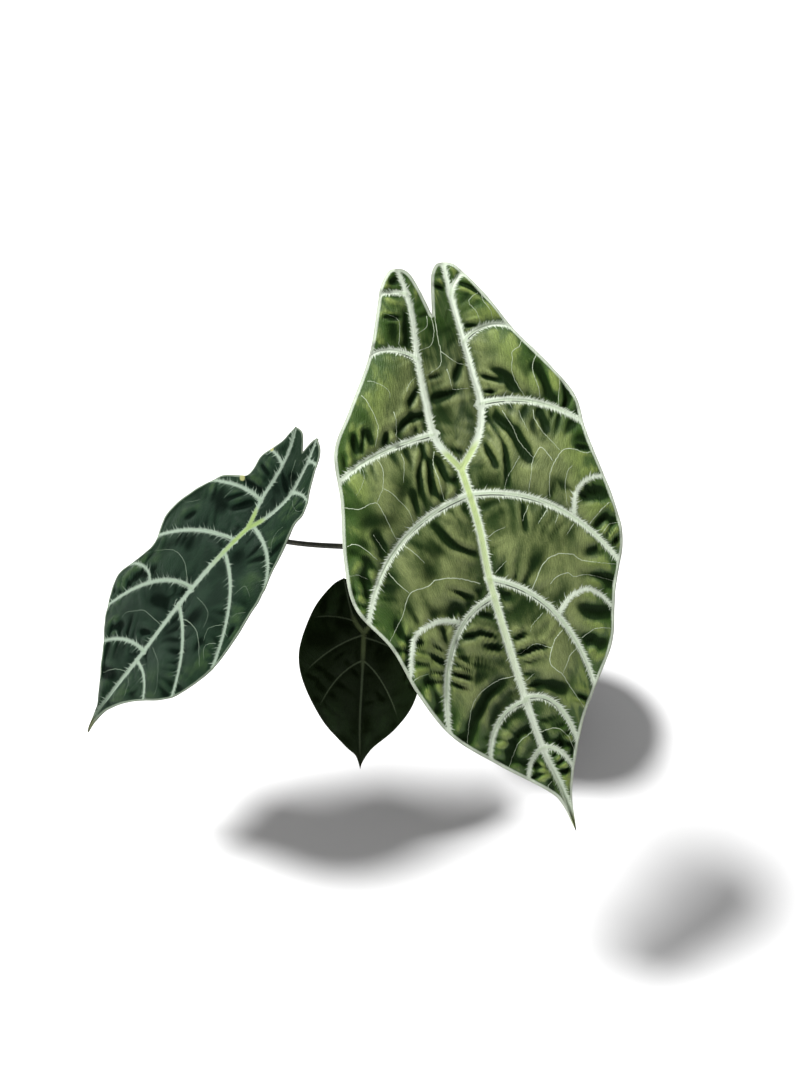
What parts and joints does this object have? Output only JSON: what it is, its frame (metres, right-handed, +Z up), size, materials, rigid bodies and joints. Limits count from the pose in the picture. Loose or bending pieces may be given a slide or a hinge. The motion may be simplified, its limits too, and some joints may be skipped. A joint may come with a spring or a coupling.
{
  "type": "potted alocasia watsoniana",
  "caption": "House plant with long arrow-shaped leaves on slim arching stalks, rising from a short rhizome in a round tapered nursery pot of soil.",
  "frame": {"origin": "centre of the pot's flat underside, where the pot stands", "axes": "+Z up through the pot's middle, -Y toward the front, where the largest leaf hangs, -X toward the other two leaves"},
  "size_m": [0.3761, 0.294, 0.4289],
  "materials": {
    "pot": "satin black nursery-pot plastic",
    "soil": "loose dark bark and peat mix",
    "rhizome": "rough brown stem with ring scars",
    "petiole": "smooth near-black green stalk with a waxy sheen",
    "blade_large": "puckered olive-green leaf with silver veins and a waxy sheen",
    "blade_medium": "puckered dark green leaf with silver veins and a waxy sheen",
    "blade_small": "near-black green leaf with thin grey-green veins"
  },
  "bodies": {
    "root": {"pot": "pot", "soil": "soil", "rhizome": "rhizome", "petiole_large": "petiole", "leaf_blade_large": "blade_large", "petiole_medium": "petiole", "leaf_blade_medium": "blade_medium", "petiole_small": "petiole", "leaf_blade_small": "blade_small"}
  },
  "joints": []
}
